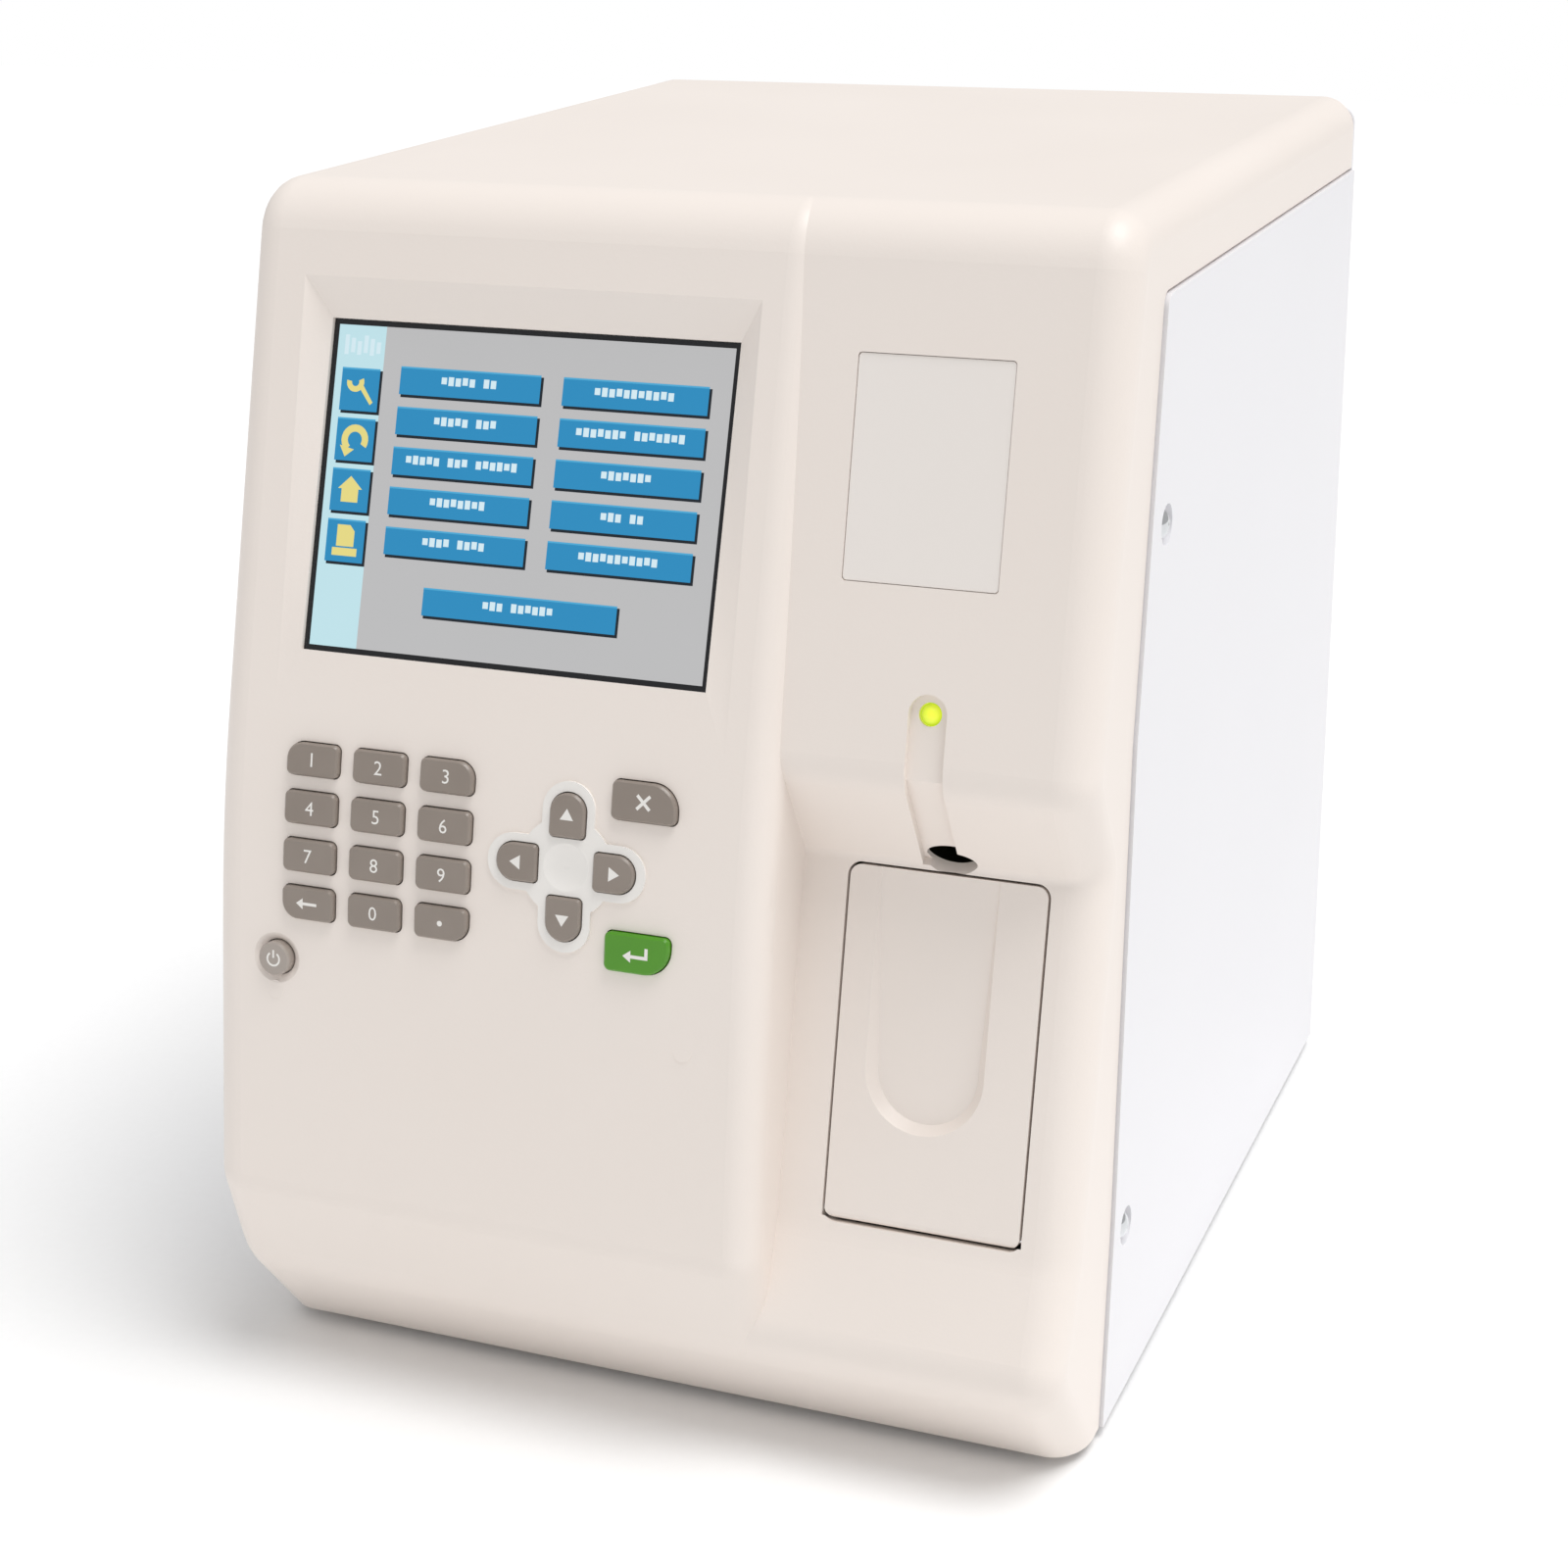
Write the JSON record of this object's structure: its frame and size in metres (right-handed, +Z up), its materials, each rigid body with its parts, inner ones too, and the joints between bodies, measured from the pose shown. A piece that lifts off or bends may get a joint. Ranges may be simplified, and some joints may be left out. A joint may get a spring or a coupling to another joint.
{
  "type": "hematology analyzer",
  "caption": "Bench-top blood cell analyzer with a tall rounded housing, leaning touch screen, number and arrow keys, and a hinged sample door on a set-back column.",
  "frame": {"origin": "centre of the bounding box at the floor, under the rubber feet", "axes": "+X to the right seen from the user, +Y to the back, +Z up"},
  "size_m": [0.2452, 0.3306, 0.325],
  "materials": {
    "hood_plastic": "fine satin moulding, warm white",
    "panel_paint": "cool white powder paint",
    "pan_steel": "zinc-plated sheet",
    "foot_rubber": "dark rubber",
    "screw_chrome": "bright plated screws",
    "screen_glass": "display face",
    "module_metal": "display frame",
    "board_green": "circuit board",
    "surround_plastic": "smooth white moulding",
    "badge_plastic": "plain plate",
    "lamp_plastic": "lit lamp",
    "tray_plastic": "grey moulding",
    "holder_plastic": "dark moulding",
    "plate_aluminium": "plain sheet",
    "rod_steel": "ground steel",
    "motor_paint": "black motor",
    "carriage_plastic": "acetal",
    "clear_plastic": "acrylic block",
    "piston_plastic": "piston plastic",
    "valve_body": "valve bodies",
    "pump_plastic": "pump moulding",
    "rotor_plastic": "rotor moulding",
    "supply_metal": "sheet case",
    "fan_plastic": "black fan",
    "inlet_plastic": "black moulding",
    "rocker_plastic": "glossy black",
    "port_metal": "plated shell",
    "fitting_plastic": "acetal fittings",
    "door_plastic": "satin moulding",
    "key_grey": "grey-brown key",
    "key_green": "green key",
    "key_standby": "grey key"
  },
  "bodies": {
    "housing": {"hood": "hood_plastic", "side_panel_left": "panel_paint", "side_panel_right": "panel_paint", "rear_panel": "panel_paint", "base_pan": "pan_steel", "rubber_feet": "foot_rubber", "side_panel_screws": "screw_chrome", "rear_panel_screws": "screw_chrome", "touch_screen": "screen_glass", "display_module": "module_metal", "keypad_board": "board_green", "arrow_surround": "surround_plastic", "badge_plate": "badge_plastic", "status_lamp": "lamp_plastic", "compartment_tray": "tray_plastic", "tube_holder": "holder_plastic", "mounting_plate": "plate_aluminium", "lower_bracket": "plate_aluminium", "upper_bracket": "plate_aluminium", "guide_rods": "rod_steel", "lift_motor": "motor_paint", "rinse_block": "clear_plastic", "syringe_block": "clear_plastic", "counting_chambers": "clear_plastic", "valve_bank": "valve_body", "pump_housing": "pump_plastic", "main_board": "board_green", "power_supply": "supply_metal", "fan_frame": "fan_plastic", "power_inlet": "inlet_plastic", "data_ports": "port_metal", "reagent_fittings": "fitting_plastic"},
    "key_1": {"key_1": "key_grey"},
    "key_2": {"key_2": "key_grey"},
    "key_3": {"key_3": "key_grey"},
    "key_4": {"key_4": "key_grey"},
    "key_5": {"key_5": "key_grey"},
    "key_6": {"key_6": "key_grey"},
    "key_7": {"key_7": "key_grey"},
    "key_8": {"key_8": "key_grey"},
    "key_9": {"key_9": "key_grey"},
    "key_delete": {"key_delete": "key_grey"},
    "key_0": {"key_0": "key_grey"},
    "key_point": {"key_point": "key_grey"},
    "key_escape": {"key_escape": "key_grey"},
    "key_enter": {"key_enter": "key_green"},
    "key_up": {"key_up": "key_grey"},
    "key_left": {"key_left": "key_grey"},
    "key_down": {"key_down": "key_grey"},
    "key_right": {"key_right": "key_grey"},
    "key_standby": {"key_standby": "key_standby"},
    "door": {"sample_door": "door_plastic", "door_hinge_pin": "rod_steel"},
    "carriage": {"needle_carriage": "carriage_plastic", "sampling_needle": "rod_steel"},
    "lift_screw": {"lead_screw": "rod_steel"},
    "pistons": {"syringe_pistons": "piston_plastic"},
    "pump_wheel": {"pump_rotor": "rotor_plastic"},
    "fan_wheel": {"fan_rotor": "fan_plastic"},
    "rocker": {"power_switch": "rocker_plastic"}
  },
  "joints": [
    {"name": "key_1_press", "type": "slide", "parent": "housing", "child": "key_1", "axis": [0, 0.9697, -0.2445], "range_m": [0, 0.001], "stiffness_N_per_m": 500, "springref_m": -0.001},
    {"name": "key_2_press", "type": "slide", "parent": "housing", "child": "key_2", "axis": [0, 0.9697, -0.2445], "range_m": [0, 0.001], "stiffness_N_per_m": 500, "springref_m": -0.001},
    {"name": "key_3_press", "type": "slide", "parent": "housing", "child": "key_3", "axis": [0, 0.9697, -0.2445], "range_m": [0, 0.001], "stiffness_N_per_m": 500, "springref_m": -0.001},
    {"name": "key_4_press", "type": "slide", "parent": "housing", "child": "key_4", "axis": [0, 0.9761, -0.2175], "range_m": [0, 0.001], "stiffness_N_per_m": 500, "springref_m": -0.001},
    {"name": "key_5_press", "type": "slide", "parent": "housing", "child": "key_5", "axis": [0, 0.9761, -0.2175], "range_m": [0, 0.001], "stiffness_N_per_m": 500, "springref_m": -0.001},
    {"name": "key_6_press", "type": "slide", "parent": "housing", "child": "key_6", "axis": [0, 0.9761, -0.2175], "range_m": [0, 0.001], "stiffness_N_per_m": 500, "springref_m": -0.001},
    {"name": "key_7_press", "type": "slide", "parent": "housing", "child": "key_7", "axis": [0, 0.9817, -0.1906], "range_m": [0, 0.001], "stiffness_N_per_m": 500, "springref_m": -0.001},
    {"name": "key_8_press", "type": "slide", "parent": "housing", "child": "key_8", "axis": [0, 0.9817, -0.1906], "range_m": [0, 0.001], "stiffness_N_per_m": 500, "springref_m": -0.001},
    {"name": "key_9_press", "type": "slide", "parent": "housing", "child": "key_9", "axis": [0, 0.9817, -0.1906], "range_m": [0, 0.001], "stiffness_N_per_m": 500, "springref_m": -0.001},
    {"name": "key_delete_press", "type": "slide", "parent": "housing", "child": "key_delete", "axis": [0, 0.9865, -0.1636], "range_m": [0, 0.001], "stiffness_N_per_m": 500, "springref_m": -0.001},
    {"name": "key_0_press", "type": "slide", "parent": "housing", "child": "key_0", "axis": [0, 0.9865, -0.1636], "range_m": [0, 0.001], "stiffness_N_per_m": 500, "springref_m": -0.001},
    {"name": "key_point_press", "type": "slide", "parent": "housing", "child": "key_point", "axis": [0, 0.9865, -0.1636], "range_m": [0, 0.001], "stiffness_N_per_m": 500, "springref_m": -0.001},
    {"name": "key_escape_press", "type": "slide", "parent": "housing", "child": "key_escape", "axis": [0, 0.9699, -0.2436], "range_m": [0, 0.001], "stiffness_N_per_m": 500, "springref_m": -0.001},
    {"name": "key_enter_press", "type": "slide", "parent": "housing", "child": "key_enter", "axis": [0, 0.9868, -0.1619], "range_m": [0, 0.001], "stiffness_N_per_m": 500, "springref_m": -0.001},
    {"name": "key_up_press", "type": "slide", "parent": "housing", "child": "key_up", "axis": [0, 0.9727, -0.2319], "range_m": [0, 0.001], "stiffness_N_per_m": 500, "springref_m": -0.001},
    {"name": "key_left_press", "type": "slide", "parent": "housing", "child": "key_left", "axis": [0, 0.9791, -0.2036], "range_m": [0, 0.001], "stiffness_N_per_m": 500, "springref_m": -0.001},
    {"name": "key_down_press", "type": "slide", "parent": "housing", "child": "key_down", "axis": [0, 0.9845, -0.1753], "range_m": [0, 0.001], "stiffness_N_per_m": 500, "springref_m": -0.001},
    {"name": "key_right_press", "type": "slide", "parent": "housing", "child": "key_right", "axis": [0, 0.9791, -0.2036], "range_m": [0, 0.001], "stiffness_N_per_m": 500, "springref_m": -0.001},
    {"name": "key_standby_press", "type": "slide", "parent": "housing", "child": "key_standby", "axis": [0, 0.9896, -0.144], "range_m": [0, 0.001], "stiffness_N_per_m": 500, "springref_m": -0.001},
    {"name": "door_hinge", "type": "hinge", "parent": "housing", "child": "door", "pos_m": [0.0803, -0.1428, 0.07162], "axis": [1, 0, 0], "range_deg": [0, 68]},
    {"name": "needle_lift", "type": "slide", "parent": "housing", "child": "carriage", "axis": [0, 0, -1], "range_m": [0, 0.06]},
    {"name": "lead_screw_turn", "type": "hinge", "parent": "housing", "child": "lift_screw", "pos_m": [0.0803, -0.06817, 0.24], "axis": [0, 0, 1], "range_deg": [0, 1800]},
    {"name": "piston_stroke", "type": "slide", "parent": "housing", "child": "pistons", "axis": [0, 0, -1], "range_m": [0, 0.027]},
    {"name": "pump_turn", "type": "hinge", "parent": "housing", "child": "pump_wheel", "pos_m": [0.082, 0.04383, 0.03075], "axis": [0, 1, 0], "continuous": true},
    {"name": "fan_turn", "type": "hinge", "parent": "housing", "child": "fan_wheel", "pos_m": [-0.06, 0.13883, 0.22], "axis": [0, 1, 0], "continuous": true},
    {"name": "rocker_tip", "type": "hinge", "parent": "housing", "child": "rocker", "pos_m": [-0.0625, 0.15233, 0.034], "axis": [-1, 0, 0], "range_deg": [0, 16]}
  ],
  "couplings": [
    {"joint": "lead_screw_turn", "follows": "needle_lift", "rad_per_m": 523.6}
  ]
}
